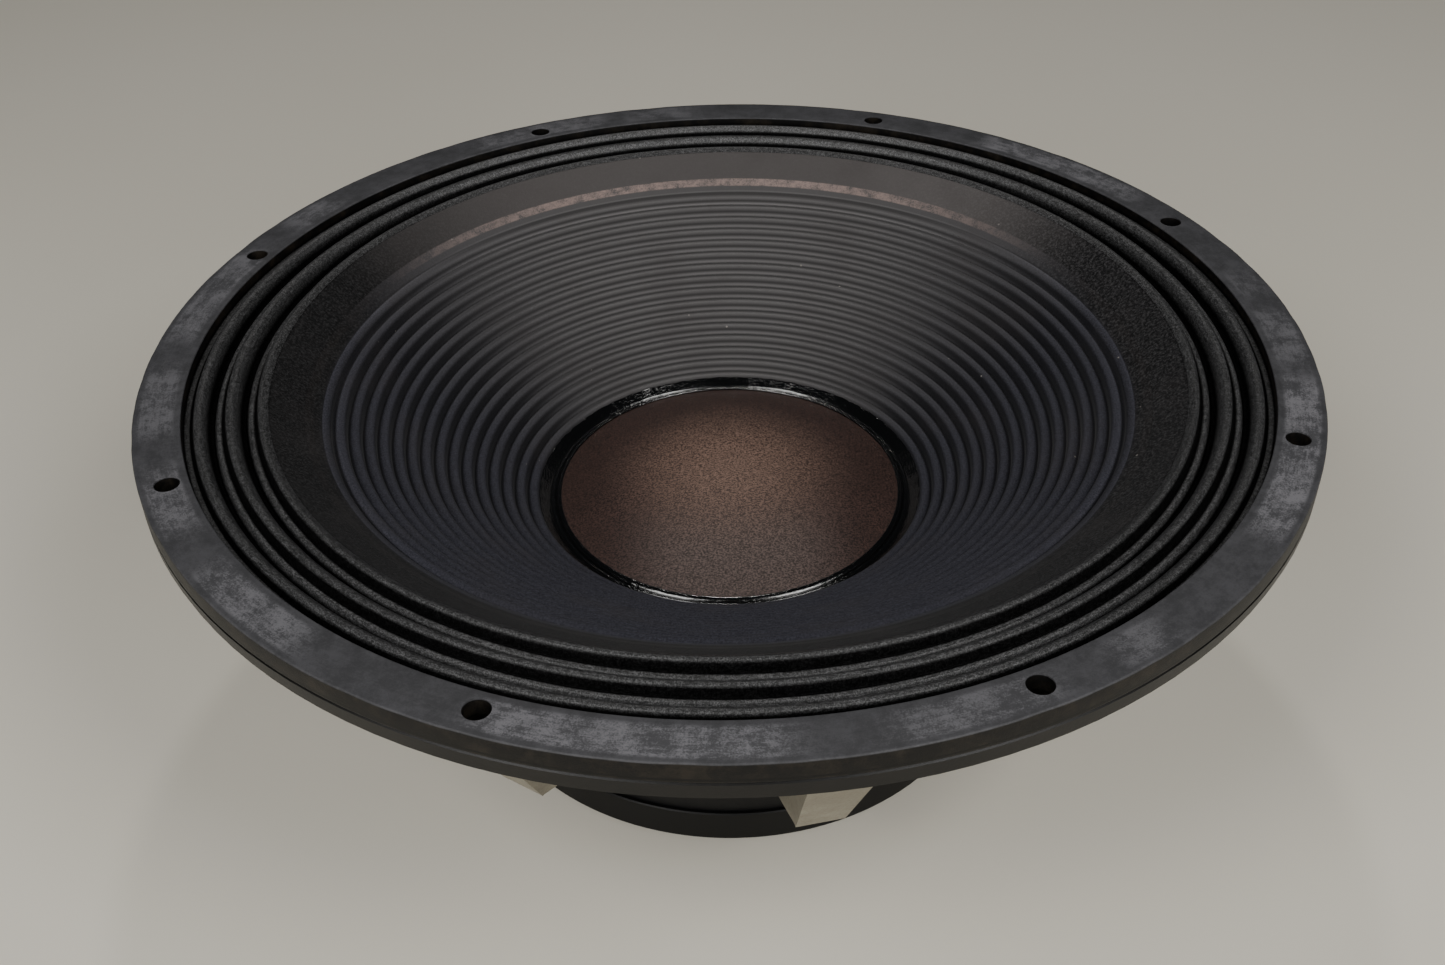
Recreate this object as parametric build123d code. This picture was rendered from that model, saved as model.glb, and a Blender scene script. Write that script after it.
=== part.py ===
"""18-inch bass loudspeaker driver: cast frame, ferrite motor, ribbed paper cone and push terminals.

Millimetres, +Z out of the cone.  The origin is the centre of the bolt circle on the rear face of
the mounting flange, where the flange meets a baffle.
"""
from build123d import *
import os
from math import degrees, pi, radians, sqrt, tan

# --- mounting flange and front gasket ----------------------------------------------------------
FLANGE_R = 230.0            # outer radius of the flange and of the gasket
FLANGE_STEP_R = 229.0       # the flange's lower band is slightly smaller
FLANGE_STEP_Z = 3.3
FLANGE_TOP = 7.6
FLANGE_INNER_R = 208.0
SHOULDER_R = 214.2          # raised shoulder that carries the edge of the surround
SHOULDER_TOP = 10.7
BOLT_CIRCLE_R = 220.0
BOLT_COUNT = 8
BOLT_FIRST_ANGLE = 22.5
BOLT_HOLE_R = 3.5
GASKET_HOLE_R = 4.6
GASKET_INNER_R = 212.3
GASKET_TOP = 15.9
EDGE = 0.6                  # small edge breaks on the flange and gasket

# --- frame arms and tub ------------------------------------------------------------------------
ARM_COUNT = 8
ARM_FIRST_ANGLE = 10.0
ARM_TOP_R = 207.5           # outer face of an arm where it meets the flange
ARM_TOP_HALF = 16.5
KNEE_R = 150.2              # outer face of an arm at its lower end
KNEE_Z = -106.2
KNEE_HALF = 9.6
ARM_DEPTH = 11.0            # radial depth of the arm's channel section
ARM_WEB = 3.0
FOOT_HEIGHT = 12.0
FOOT_INNER_HALF = 15.0
BASE_Z = -114.1             # lower face of the frame, on the top plate
BASE_THICK = 7.0
BASE_R = 118.0
BASE_BORE_R = 60.0
SKIRT_DEPTH = 15.5
SKIRT_WALL = 3.5
TUB_R = 104.0
TUB_INNER_R = 98.0
TUB_TOP = -80.6
SHELF_INNER_R = 90.0
SHELF_THICK = 3.5
VENT_HALF_WIDTH = 20.0
VENT_HEIGHT = 7.0

# --- suspension --------------------------------------------------------------------------------
SURROUND_THICK = 0.9
SURROUND_EDGE_R = 214.0
SPIDER_OUTER_R = 97.6
SPIDER_INNER_R = 52.4
SPIDER_THICK = 0.8
SPIDER_WAVE = 1.3
SPIDER_WAVES = 4
LOWER_SPIDER_Z = -94.4
UPPER_SPIDER_Z = -84.6
SPACER_INNER_R = 92.6

# --- cone, dust cap and voice coil -------------------------------------------------------------
CONE_EDGE_R = 182.0
CONE_EDGE_Z = 12.4
CONE_SLOPE = 0.683          # fall per millimetre of radius
CONE_THICK = 1.5
CONE_NECK_R = 52.2
RIB_COUNT = 15
FIRST_GROOVE_R = 159.5
RIB_PITCH = 5.186
GROOVE_HALF = 0.65
GROOVE_DEPTH = 0.7
RIB_RISE = 0.45
CAP_R = 73.0
CAP_CROWN = 13.0
CAP_THICK = 0.9
GLUE_R = 81.8
FORMER_R = 50.8
FORMER_WALL = 0.6
FORMER_TOP = -71.1
FORMER_BOTTOM = -132.1
WINDING_THICK = 1.8
WINDING_HEIGHT = 22.0
COLLAR_WALL = 0.6
COLLAR_TOP = -77.1
COLLAR_BOTTOM = -101.6

# --- motor -------------------------------------------------------------------------------------
TOP_PLATE_R = 106.0
TOP_PLATE_THICK = 10.0
TOP_PLATE_BORE_R = 54.6
FERRITE_R = 111.0
FERRITE_BORE_R = 68.0
FERRITE_THICK = 20.0
YOKE_R = 108.0
YOKE_THICK = 9.0
POLE_R = 49.6
VENT_R = 16.0
VENT_MOUTH_R = 20.0
VENT_MOUTH_DEPTH = 12.0
BOOT_R = 113.8
BOOT_LIP_R = 113.0          # the boot narrows a little towards its upper lip
BOOT_HEIGHT = 14.8
BOOT_FLOOR = 1.5
BOOT_WINDOW_R = 62.0
SHORTING_RING = (57.5, 64.5, 9.0)      # inner radius, outer radius, height
SCREW_CIRCLE_R = 79.0
SCREW_COUNT = 8
SCREW_R = 2.9
SCREW_HEAD_R = 5.0
SCREW_HEAD_HEIGHT = 5.0
SCREW_LENGTH = 15.0

TOP_PLATE_Z = BASE_Z - TOP_PLATE_THICK
FERRITE_Z = TOP_PLATE_Z - FERRITE_THICK
YOKE_Z = FERRITE_Z - YOKE_THICK
BOTTOM_Z = YOKE_Z - BOOT_FLOOR
BASE_TOP = BASE_Z + BASE_THICK
SHELF_TOP = LOWER_SPIDER_Z - SPIDER_THICK

# --- push terminals ----------------------------------------------------------------------------
TERMINAL_ANGLE = 77.5       # middle of one window between two arms
TERMINAL_OFFSET = 13.0
PAD_FACE = 119.0
PAD_HALF_WIDTH = 27.0
PLATE_THICK = 2.0
PLATE_HEIGHT = 30.0
TERMINAL_SIZE = (13.0, 16.0, 24.0)     # depth, width, height
TERMINAL_BASE_Z = -110.6
BUTTON_R = 4.0
BUTTON_CLEARANCE = 0.35
BUTTON_LENGTH = 11.5
BUTTON_PROUD = 5.5
BUTTON_Z = -93.1
WIRE_HOLE_R = 1.6
WIRE_HOLE_Z = -105.6
WIRE_HOLE_DEPTH = 9.0
SPRING_R = 3.1
SPRING_WALL = 0.6
SPRING_LENGTH = 5.2
TAG_THICK = 0.8
LEAD_R = 1.2
LEAD_OUTER_R = 126.0


def ring(outer, inner, low, high):
    """A plain ring between two heights."""
    body = Pos(0, 0, low) * Cylinder(outer, high - low, align=(Align.CENTER, Align.CENTER, Align.MIN))
    bore = Pos(0, 0, low - 1) * Cylinder(inner, high - low + 2, align=(Align.CENTER, Align.CENTER, Align.MIN))
    return body - bore


def disc(radius, low, high):
    return Pos(0, 0, low) * Cylinder(radius, high - low, align=(Align.CENTER, Align.CENTER, Align.MIN))


def turned(*points):
    """Revolve a closed outline given as (radius, height) corners."""
    outline = Polyline(*[(r, 0, z) for r, z in points], close=True)
    return revolve(make_face(outline), Axis.Z, 360)


def turned_strip(edges, thickness):
    """Revolve a strip whose upper side is the chain of edges, with the same chain below it."""
    upper = Wire(edges)
    lower = Pos(0, 0, -thickness) * upper
    ends = [Line(upper @ t, lower @ t) for t in (0, 1)]
    return revolve(make_face(Wire(upper.edges() + lower.edges() + ends)), Axis.Z, 360)


def around(shape, count, first=0.0):
    """Copies of a shape at even angles about Z."""
    return [Rot(0, 0, first + i * 360 / count) * shape for i in range(count)]


def block(x0, x1, y_half, z0, z1):
    return Pos(x0, 0, z0) * Box(x1 - x0, 2 * y_half, z1 - z0, align=(Align.MIN, Align.CENTER, Align.MIN))


# --- frame -------------------------------------------------------------------------------------
def tapered_leg(top_r, knee_r, depth, top_half, knee_half):
    """Straight leg between a rectangle at the flange and a smaller one at the base."""
    def section(outer_r, half, z):
        corners = [(outer_r - depth, -half), (outer_r, -half), (outer_r, half), (outer_r - depth, half)]
        return make_face(Polyline(*[(x, y, z) for x, y in corners], close=True))
    return loft([section(knee_r, knee_half, KNEE_Z), section(top_r, top_half, 0.5)])


def make_arm():
    leg = tapered_leg(ARM_TOP_R, KNEE_R, ARM_DEPTH, ARM_TOP_HALF, KNEE_HALF)
    channel = tapered_leg(ARM_TOP_R - ARM_WEB, KNEE_R - ARM_WEB, ARM_DEPTH + 6,
                          ARM_TOP_HALF - ARM_WEB, KNEE_HALF - ARM_WEB)
    channel -= block(0, FLANGE_R, FLANGE_R, KNEE_Z - 1, KNEE_Z + FOOT_HEIGHT)
    channel -= block(0, FLANGE_R, FLANGE_R, -3, 2)

    def foot_section(x, half, z):
        corners = [(-half, z), (half, z), (half, z + FOOT_HEIGHT), (-half, z + FOOT_HEIGHT)]
        return make_face(Polyline(*[(x, y, height) for y, height in corners], close=True))
    foot = loft([foot_section(TUB_INNER_R + 2, FOOT_INNER_HALF, BASE_Z),
                 foot_section(KNEE_R - 0.6, KNEE_HALF - 0.2, KNEE_Z - 0.1)])
    return leg - channel + foot


def bolt_holes(radius):
    hole = Pos(BOLT_CIRCLE_R, 0, 0) * Cylinder(radius, 60)
    return around(hole, BOLT_COUNT, BOLT_FIRST_ANGLE)


def make_frame():
    flange = turned((FLANGE_INNER_R, 0), (FLANGE_STEP_R - EDGE, 0), (FLANGE_STEP_R, EDGE),
                    (FLANGE_STEP_R, FLANGE_STEP_Z), (FLANGE_R - EDGE, FLANGE_STEP_Z),
                    (FLANGE_R, FLANGE_STEP_Z + EDGE), (FLANGE_R, FLANGE_TOP - EDGE),
                    (FLANGE_R - EDGE, FLANGE_TOP), (SHOULDER_R, FLANGE_TOP),
                    (SHOULDER_R, SHOULDER_TOP), (FLANGE_INNER_R, SHOULDER_TOP))
    lean = (ARM_TOP_R - KNEE_R) / -KNEE_Z
    low_r = ARM_TOP_R - lean * SKIRT_DEPTH
    skirt = turned((ARM_TOP_R - SKIRT_WALL, 0), (ARM_TOP_R + 4, 0), (ARM_TOP_R, -4),
                   (low_r, -SKIRT_DEPTH), (low_r - SKIRT_WALL, -SKIRT_DEPTH))
    neck = turned((ARM_TOP_R - SKIRT_WALL, 0), (FLANGE_INNER_R + 4, 0), (FLANGE_INNER_R + 4, 3),
                  (FLANGE_INNER_R, 3))
    base = ring(BASE_R, BASE_BORE_R, BASE_Z, BASE_TOP)
    wall = ring(TUB_R, TUB_INNER_R, BASE_Z + 1, TUB_TOP)
    shelf = ring(TUB_INNER_R + 1, SHELF_INNER_R, SHELF_TOP - SHELF_THICK, SHELF_TOP)
    frame = flange + skirt + neck + base + wall + shelf
    for arm in around(make_arm(), ARM_COUNT, ARM_FIRST_ANGLE):
        frame += arm
    pad = Rot(0, 0, TERMINAL_ANGLE) * block(TUB_INNER_R + 2, PAD_FACE, PAD_HALF_WIDTH, BASE_Z, TUB_TOP)
    frame += pad
    vent = block(TUB_INNER_R - 20, TUB_R + 1, VENT_HALF_WIDTH, BASE_TOP, BASE_TOP + VENT_HEIGHT)
    half_pitch = 180 / ARM_COUNT
    for i in range(ARM_COUNT):
        angle = ARM_FIRST_ANGLE + half_pitch + i * 2 * half_pitch
        if abs(angle - TERMINAL_ANGLE) > 1:
            frame -= Rot(0, 0, angle) * vent
    frame -= disc(SHELF_INNER_R, BASE_TOP, TUB_TOP)
    frame -= ring(TUB_INNER_R, SHELF_INNER_R - 1, SHELF_TOP, TUB_TOP + 1)
    for hole in bolt_holes(BOLT_HOLE_R):
        frame -= hole
    screw_hole = Pos(SCREW_CIRCLE_R, 0, BASE_Z) * Cylinder(SCREW_R + 0.2, 3 * BASE_THICK)
    for hole in around(screw_hole, SCREW_COUNT, ARM_FIRST_ANGLE):
        frame -= hole
    for hole in plate_screw_sites():
        frame -= hole * Cylinder(1.6, 20)
    return frame


def make_gasket():
    lip_z = SHOULDER_TOP + SURROUND_THICK
    gasket = turned((SHOULDER_R + 0.2, FLANGE_TOP), (FLANGE_R - EDGE, FLANGE_TOP),
                    (FLANGE_R, FLANGE_TOP + EDGE), (FLANGE_R, GASKET_TOP - EDGE),
                    (FLANGE_R - EDGE, GASKET_TOP), (GASKET_INNER_R + EDGE, GASKET_TOP),
                    (GASKET_INNER_R, GASKET_TOP - EDGE), (GASKET_INNER_R, lip_z),
                    (SHOULDER_R + 0.2, lip_z))
    for hole in bolt_holes(GASKET_HOLE_R):
        gasket -= hole
    return gasket


# --- suspension --------------------------------------------------------------------------------
def make_surround():
    """Cloth ring with two rolls, a flat outer flange and a lip that sits on the edge of the cone."""
    flange_z = SHOULDER_TOP + SURROUND_THICK
    rolls = Spline((209.6, 0, flange_z), (206.3, 0, 14.9), (199.6, 0, 9.3), (194.2, 0, 13.7),
                   (188.0, 0, 8.5), (183.1, 0, 14.1), (180.8, 0, 13.3),
                   tangents=[(-1, 0, 0.4), (-1, 0, -0.7)])
    flange = Line((SURROUND_EDGE_R, 0, flange_z), (209.6, 0, flange_z))
    return turned_strip([flange, rolls], SURROUND_THICK)


def make_spider(height):
    """Corrugated cloth disc: flat outer flange, even waves, flat collar at the coil former."""
    flat_outer, flat_inner = 5.5, 2.0
    start_r, end_r = SPIDER_OUTER_R - flat_outer, SPIDER_INNER_R + flat_inner
    half_waves = 2 * SPIDER_WAVES
    width = (start_r - end_r) / half_waves
    edges = [Line((SPIDER_OUTER_R, 0, height), (start_r, 0, height))]
    for i in range(half_waves):
        r = start_r - i * width
        rise = SPIDER_WAVE if i % 2 == 0 else -SPIDER_WAVE
        edges.append(ThreePointArc((r, 0, height), (r - width / 2, 0, height + rise), (r - width, 0, height)))
    edges.append(Line((end_r, 0, height), (SPIDER_INNER_R, 0, height)))
    return turned_strip(edges, SPIDER_THICK)


def make_spacer():
    return ring(SPIDER_OUTER_R, SPACER_INNER_R, LOWER_SPIDER_Z, UPPER_SPIDER_Z - SPIDER_THICK)


# --- cone, dust cap and voice coil -------------------------------------------------------------
def cone_z(r):
    return CONE_EDGE_Z - CONE_SLOPE * (CONE_EDGE_R - r)


def on_cone(r, lift=0.0):
    """A point lifted square off the cone's face."""
    length = sqrt(1 + CONE_SLOPE ** 2)
    return (r - lift * CONE_SLOPE / length, 0, cone_z(r) + lift / length)


def make_cone():
    edges = [Line(on_cone(CONE_EDGE_R), on_cone(FIRST_GROOVE_R + GROOVE_HALF))]
    for i in range(RIB_COUNT):
        groove_r = FIRST_GROOVE_R - i * RIB_PITCH
        outer, inner = groove_r + GROOVE_HALF, groove_r - GROOVE_HALF
        edges.append(ThreePointArc(on_cone(outer), on_cone(groove_r, -GROOVE_DEPTH), on_cone(inner)))
        if i < RIB_COUNT - 1:
            next_outer = groove_r - RIB_PITCH + GROOVE_HALF
            crest = on_cone((inner + next_outer) / 2, RIB_RISE)
            edges.append(ThreePointArc(on_cone(inner), crest, on_cone(next_outer)))
    edges.append(Line(on_cone(inner), on_cone(CONE_NECK_R)))
    return turned_strip(edges, CONE_THICK)


def make_dust_cap():
    """Low dome with a short skirt that stands on the cone."""
    foot_z = cone_z(CAP_R) + 0.3
    rim_z = foot_z + 3.6

    def side(radius, rim, crown):
        skirt = Line((radius, 0, foot_z), (radius, 0, rim))
        sphere_r = (radius ** 2 + crown ** 2) / (2 * crown)
        mid_x = radius / 2
        mid_z = rim + crown - sphere_r + sqrt(sphere_r ** 2 - mid_x ** 2)
        return skirt, ThreePointArc((radius, 0, rim), (mid_x, 0, mid_z), (0, 0, rim + crown))
    skirt, dome = side(CAP_R, rim_z, CAP_CROWN)
    inner_skirt, inner_dome = side(CAP_R - CAP_THICK, rim_z - CAP_THICK / 2, CAP_CROWN - CAP_THICK / 2)
    foot = Line(inner_skirt @ 0, skirt @ 0)
    axis = Line(dome @ 1, inner_dome @ 1)
    return revolve(make_face(Wire([foot, skirt, dome, axis, inner_dome, inner_skirt])), Axis.Z, 360)


def make_cap_glue():
    """Fillet of adhesive between the dust cap's skirt and the cone."""
    inner_r = CAP_R + 0.05
    low = (inner_r, 0, cone_z(inner_r) + 0.15)
    outer = (GLUE_R, 0, cone_z(GLUE_R) + 0.15)
    high = (inner_r, 0, cone_z(inner_r) + 3.5)
    top = ThreePointArc(outer, (GLUE_R - 3.6, 0, cone_z(GLUE_R) + 0.35), high)
    return revolve(make_face(Wire([Line(low, outer), top, Line(high, low)])), Axis.Z, 360)


def make_former():
    return ring(FORMER_R + FORMER_WALL, FORMER_R, FORMER_BOTTOM, FORMER_TOP)


def make_winding():
    middle = BASE_Z - TOP_PLATE_THICK / 2
    inner = FORMER_R + FORMER_WALL
    return ring(inner + WINDING_THICK, inner, middle - WINDING_HEIGHT / 2, middle + WINDING_HEIGHT / 2)


def make_collar():
    inner = FORMER_R + FORMER_WALL
    return ring(inner + COLLAR_WALL, inner, COLLAR_BOTTOM, COLLAR_TOP)


def make_neck_glue():
    """Adhesive fillet above the joint between cone neck and former."""
    inner = FORMER_R + FORMER_WALL
    return turned((inner, COLLAR_TOP), (CONE_NECK_R - 0.05, COLLAR_TOP), (CONE_NECK_R - 0.05, cone_z(CONE_NECK_R)),
                  (CONE_NECK_R + 3, cone_z(CONE_NECK_R + 3) + 0.1), (inner, FORMER_TOP - 1))


# --- motor -------------------------------------------------------------------------------------
def make_top_plate():
    plate = ring(TOP_PLATE_R, TOP_PLATE_BORE_R, TOP_PLATE_Z, BASE_Z)
    tapped = Pos(SCREW_CIRCLE_R, 0, BASE_Z) * Cylinder(SCREW_R + 0.05, 18)
    for hole in around(tapped, SCREW_COUNT, ARM_FIRST_ANGLE):
        plate -= hole
    return plate


def make_ferrite():
    chamfer = 1.5
    return turned((FERRITE_BORE_R, FERRITE_Z), (FERRITE_R - chamfer, FERRITE_Z), (FERRITE_R, FERRITE_Z + chamfer),
                  (FERRITE_R, TOP_PLATE_Z - chamfer), (FERRITE_R - chamfer, TOP_PLATE_Z),
                  (FERRITE_BORE_R, TOP_PLATE_Z))


def make_yoke():
    """Back plate and pole in one forging, with a flared vent through the pole."""
    screen_step = 2.0
    return turned((VENT_MOUTH_R, YOKE_Z), (YOKE_R, YOKE_Z), (YOKE_R, FERRITE_Z), (POLE_R, FERRITE_Z),
                  (POLE_R, BASE_Z - 2), (POLE_R - 2, BASE_Z), (VENT_R + 3, BASE_Z), (VENT_R, BASE_Z - 3),
                  (VENT_R, YOKE_Z + VENT_MOUTH_DEPTH), (VENT_MOUTH_R - 1, YOKE_Z + screen_step),
                  (VENT_MOUTH_R, YOKE_Z + screen_step))


def make_shorting_ring():
    inner, outer, height = SHORTING_RING
    return ring(outer, inner, FERRITE_Z, FERRITE_Z + height)


def make_vent_screen():
    """Woven wire disc in a thin pressed rim."""
    rim_r = VENT_MOUTH_R - 0.2
    low, high = YOKE_Z + 0.4, YOKE_Z + 1.2
    screen = ring(rim_r, rim_r - 2, low, high)
    pitch, half_wire = 4.0, 0.4
    for i in range(-4, 5):
        half_length = sqrt((rim_r - 1) ** 2 - (i * pitch) ** 2)
        bar = Pos(0, i * pitch, (low + high) / 2) * Box(2 * half_length, 2 * half_wire, high - low)
        screen += bar
        screen += Rot(0, 0, 90) * bar
    return screen


def make_boot():
    """Moulded cover round the back plate and the lower edge of the magnet, which the driver stands on."""
    lip_z = BOTTOM_Z + BOOT_HEIGHT
    inner = FERRITE_R + 0.3
    return turned((BOOT_WINDOW_R, BOTTOM_Z), (BOOT_R - 1.5, BOTTOM_Z), (BOOT_R, BOTTOM_Z + 1.5),
                  (BOOT_LIP_R, lip_z - 0.5), (BOOT_LIP_R - 0.5, lip_z), (inner, lip_z),
                  (inner, FERRITE_Z), (YOKE_R + 0.3, FERRITE_Z), (YOKE_R + 0.3, YOKE_Z),
                  (BOOT_WINDOW_R, YOKE_Z))


def socket_screw(head_r, head_height, shank_r, shank_length, key_across):
    """Socket-head screw along +Z, with the underside of its head at the origin."""
    align = (Align.CENTER, Align.CENTER, Align.MIN)
    head = Cylinder(head_r, head_height, align=align)
    shank = Pos(0, 0, -shank_length) * Cylinder(shank_r, shank_length, align=align)
    key = Pos(0, 0, head_height / 2) * extrude(RegularPolygon(key_across / sqrt(3), 6), head_height)
    return head + shank - key


def make_frame_screws():
    screw = Pos(SCREW_CIRCLE_R, 0, BASE_TOP) * socket_screw(SCREW_HEAD_R, SCREW_HEAD_HEIGHT, SCREW_R,
                                                            SCREW_LENGTH, 5.0)
    return Compound(children=around(screw, SCREW_COUNT, ARM_FIRST_ANGLE))


# --- push terminals, drawn facing +X and then turned to their window -----------------------------
def at_terminal(side):
    """Place of one terminal: side is -1 or +1 along the flange's tangent."""
    return Rot(0, 0, TERMINAL_ANGLE) * Pos(0, side * TERMINAL_OFFSET, 0)


def plate_screw_sites():
    """Axes of the two screws that hold the terminal plate, with local Z pointing outwards."""
    heights = (TERMINAL_BASE_Z + 3, TERMINAL_BASE_Z + 21)
    return [Rot(0, 0, TERMINAL_ANGLE) * Pos(PAD_FACE + PLATE_THICK, 0, z) * Rot(0, 90, 0) for z in heights]


def make_terminal_plate():
    base_z = TERMINAL_BASE_Z - 1.5
    plate = Rot(0, 0, TERMINAL_ANGLE) * block(PAD_FACE, PAD_FACE + PLATE_THICK, PAD_HALF_WIDTH - 1,
                                              base_z, base_z + PLATE_HEIGHT)
    for site in plate_screw_sites():
        plate -= site * Cylinder(1.7, 10)
    return plate


def make_plate_screws():
    screw = socket_screw(2.4, 1.8, 1.5, 9.5, 1.6)
    return Compound(children=[site * screw for site in plate_screw_sites()])


def terminal_front():
    return PAD_FACE + PLATE_THICK + TERMINAL_SIZE[0]


def make_terminal_body(side):
    depth, width, height = TERMINAL_SIZE
    back = PAD_FACE + PLATE_THICK
    body = block(back, back + depth, width / 2, TERMINAL_BASE_Z, TERMINAL_BASE_Z + height)
    body = fillet(body.edges().filter_by(Axis.X), 1.5)
    bore_end = back + 1.5
    bore = Pos(bore_end, 0, BUTTON_Z) * Rot(0, 90, 0) * Cylinder(
        BUTTON_R + BUTTON_CLEARANCE, depth, align=(Align.CENTER, Align.CENTER, Align.MIN))
    wire_hole = Pos(terminal_front() - WIRE_HOLE_DEPTH, 0, WIRE_HOLE_Z) * Rot(0, 90, 0) * Cylinder(
        WIRE_HOLE_R, WIRE_HOLE_DEPTH + 1, align=(Align.CENTER, Align.CENTER, Align.MIN))
    return at_terminal(side) * (body - bore - wire_hole)


def make_button(side):
    front = terminal_front() + BUTTON_PROUD
    button = Pos(front - BUTTON_LENGTH, 0, BUTTON_Z) * Rot(0, 90, 0) * Cylinder(
        BUTTON_R, BUTTON_LENGTH, align=(Align.CENTER, Align.CENTER, Align.MIN))
    button = chamfer(button.edges().sort_by(Axis.X)[-1], 0.6)
    return at_terminal(side) * button


def make_button_spring(side):
    """Closed sleeve with the outline of the coil spring behind a button."""
    start = PAD_FACE + PLATE_THICK + 1.6
    align = (Align.CENTER, Align.CENTER, Align.MIN)
    sleeve = Cylinder(SPRING_R, SPRING_LENGTH, align=align) - Cylinder(SPRING_R - SPRING_WALL, SPRING_LENGTH, align=align)
    return at_terminal(side) * Pos(start, 0, BUTTON_Z) * Rot(0, 90, 0) * sleeve


def lead_angle(side):
    """Angle of the radial plane in which one tinsel lead runs."""
    offset = side * TERMINAL_OFFSET
    return TERMINAL_ANGLE + degrees(offset / LEAD_OUTER_R)


def make_terminal_tag(side):
    """Brass solder tag that stands on top of a terminal."""
    top = TERMINAL_BASE_Z + TERMINAL_SIZE[2]
    tag = block(LEAD_OUTER_R + 1, LEAD_OUTER_R + 1 + TAG_THICK, 3.0, top, top + 10)
    return at_terminal(side) * tag


def make_coil_tags():
    """Two brass tags on the former's collar where the tinsel leads end."""
    start = FORMER_R + FORMER_WALL + COLLAR_WALL + 0.15
    tags = [Rot(0, 0, lead_angle(side)) * block(start, start + TAG_THICK, 2.0, -83.1, -78.4) for side in (-1, 1)]
    return Compound(children=tags)


# Route of a tinsel lead in its radial plane: radius, height.
LEAD_ROUTE = [(LEAD_OUTER_R, -79.6), (116.5, -78.1), (103.5, -71.1), (89.0, -68.1), (75.5, -72.1),
              (64.5, -78.6), (53.5, -80.4)]


def corner_radii(points):
    """Largest tangent arc that each corner of a route leaves room for."""
    radii = []
    for before, corner, after in zip(points, points[1:], points[2:]):
        first = Vector(corner) - Vector(before)
        second = Vector(after) - Vector(corner)
        turn = first.get_angle(second)
        radii.append(0.45 * min(first.length, second.length) / tan(radians(turn / 2)))
    return radii


def make_tinsel_lead(side):
    points = [(r, 0, z) for r, z in LEAD_ROUTE]
    radii = corner_radii(points)
    print("tinsel lead arc radii", [round(value, 1) for value in radii])
    path = FilletPolyline(*points, radius=radii)
    section = Plane(origin=path @ 0, z_dir=path % 0) * Circle(LEAD_R)
    lead = sweep(section, path=path)
    print("tinsel lead length", round(path.length, 1), "volume ratio",
          round(lead.volume / (pi * LEAD_R ** 2 * path.length), 4))
    return Rot(0, 0, lead_angle(side)) * lead


PARTS = {
    "basket_frame": make_frame(),
    "front_gasket": make_gasket(),
    "surround": make_surround(),
    "upper_spider": make_spider(UPPER_SPIDER_Z),
    "lower_spider": make_spider(LOWER_SPIDER_Z),
    "spider_spacer_ring": make_spacer(),
    "paper_cone": make_cone(),
    "dust_cap": make_dust_cap(),
    "dust_cap_glue": make_cap_glue(),
    "voice_coil_former": make_former(),
    "voice_coil_winding": make_winding(),
    "former_collar": make_collar(),
    "neck_glue": make_neck_glue(),
    "coil_tags": make_coil_tags(),
    "top_plate": make_top_plate(),
    "ferrite_magnet": make_ferrite(),
    "yoke_and_pole": make_yoke(),
    "shorting_ring": make_shorting_ring(),
    "vent_screen": make_vent_screen(),
    "magnet_boot": make_boot(),
    "frame_screws": make_frame_screws(),
    "terminal_plate": make_terminal_plate(),
    "terminal_plate_screws": make_plate_screws(),
}
for name, side in (("red", 1), ("black", -1)):
    PARTS[f"{name}_terminal_body"] = make_terminal_body(side)
    PARTS[f"{name}_button"] = make_button(side)
    PARTS[f"{name}_button_spring"] = make_button_spring(side)
    PARTS[f"{name}_terminal_tag"] = make_terminal_tag(side)
    PARTS[f"{name}_tinsel_lead"] = make_tinsel_lead(side)

os.makedirs("parts", exist_ok=True)
for name, shape in PARTS.items():
    export_step(shape, f"parts/{name}.step")
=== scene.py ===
"""Visual model of an 18-inch bass driver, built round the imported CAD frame.

Metres, +Z out of the cone.  Helper functions take radii and heights in millimetres.
"""
from math import cos, pi, radians, sin, sqrt

import bmesh
import bpy
import numpy as np
from mathutils import Matrix, Vector


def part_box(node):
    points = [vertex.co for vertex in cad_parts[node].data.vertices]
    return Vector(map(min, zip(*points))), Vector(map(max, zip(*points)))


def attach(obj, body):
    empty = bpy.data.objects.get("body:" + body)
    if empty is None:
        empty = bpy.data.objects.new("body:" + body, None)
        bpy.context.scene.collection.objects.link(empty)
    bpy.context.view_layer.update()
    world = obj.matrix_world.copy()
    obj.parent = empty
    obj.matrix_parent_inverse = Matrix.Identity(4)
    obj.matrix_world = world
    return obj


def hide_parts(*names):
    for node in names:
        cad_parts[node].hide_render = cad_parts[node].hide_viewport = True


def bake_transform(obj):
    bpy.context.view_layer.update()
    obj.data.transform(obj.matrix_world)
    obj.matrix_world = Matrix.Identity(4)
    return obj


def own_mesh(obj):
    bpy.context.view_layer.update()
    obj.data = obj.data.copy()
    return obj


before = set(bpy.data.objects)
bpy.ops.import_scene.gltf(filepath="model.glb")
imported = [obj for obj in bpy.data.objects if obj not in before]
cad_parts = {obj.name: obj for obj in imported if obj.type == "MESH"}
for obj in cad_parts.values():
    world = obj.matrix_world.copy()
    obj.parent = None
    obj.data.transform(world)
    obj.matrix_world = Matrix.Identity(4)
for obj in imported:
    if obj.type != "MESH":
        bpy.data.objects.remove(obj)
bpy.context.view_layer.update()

MM = 0.001
ROOT, CONE = "frame", "cone_assembly"


def reach(node):
    """Outer radius, lowest and highest height of a round CAD node, in millimetres."""
    low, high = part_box(node)
    return high.x / MM, low.z / MM, high.z / MM


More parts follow.
